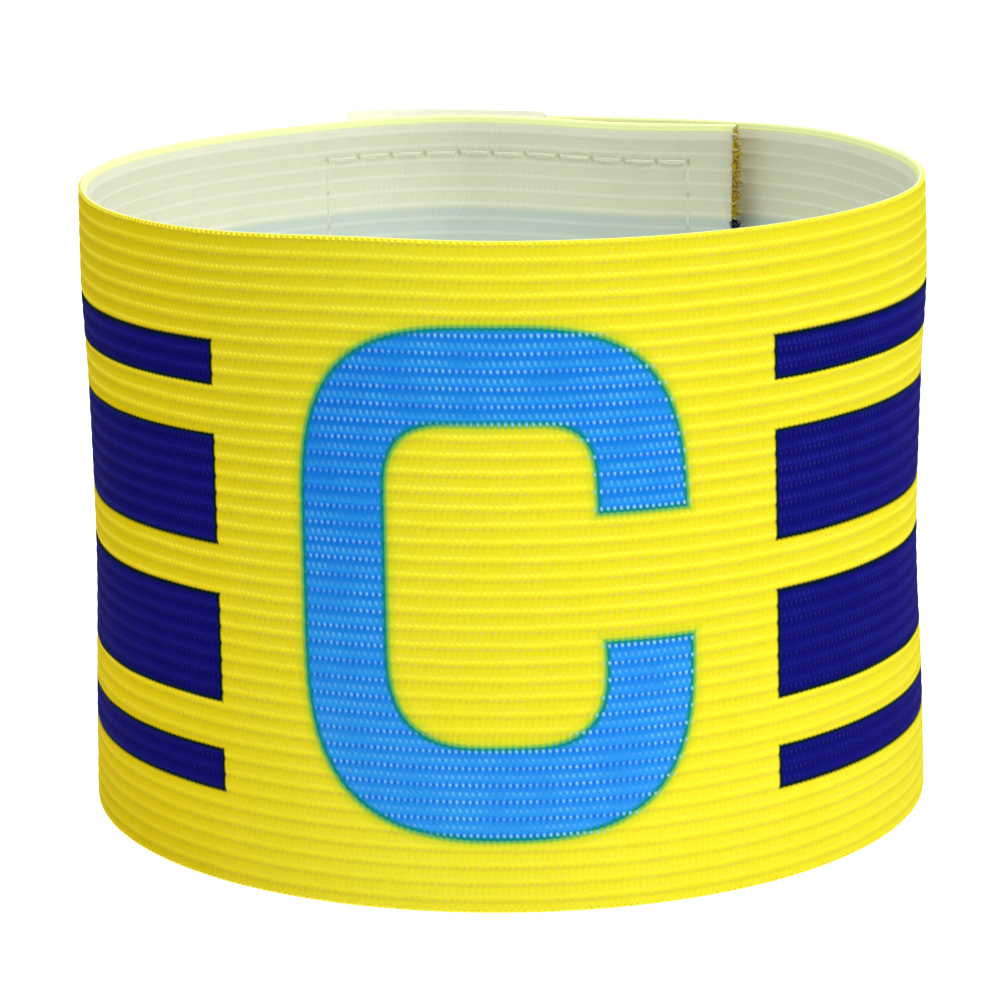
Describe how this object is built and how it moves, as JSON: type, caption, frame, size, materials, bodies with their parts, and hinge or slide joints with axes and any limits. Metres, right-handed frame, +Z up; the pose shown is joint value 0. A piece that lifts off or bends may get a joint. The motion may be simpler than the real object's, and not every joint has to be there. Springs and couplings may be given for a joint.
{
  "type": "captain armband",
  "caption": "Ribbed elastic armband closed into a loop by a hook-and-loop fastening, worn round the upper arm to mark a team's captain.",
  "frame": {"origin": "centre of the ground area that the armband covers, with the loop standing on its lower edge", "axes": "+Z up along the loop's axis, the printed front faces -Y, +X to the right seen from the front"},
  "size_m": [0.0944, 0.0964, 0.071],
  "materials": {
    "elastic_knit": "ribbed knitted elastic, yellow print outside, white inside",
    "hook_tape": "translucent nylon hook tape",
    "loop_tape": "brushed nylon loop tape",
    "sewing_thread": "white polyester sewing thread"
  },
  "bodies": {
    "root": {"band": "elastic_knit", "hook_patch": "hook_tape", "loop_patch": "loop_tape"}
  },
  "joints": []
}
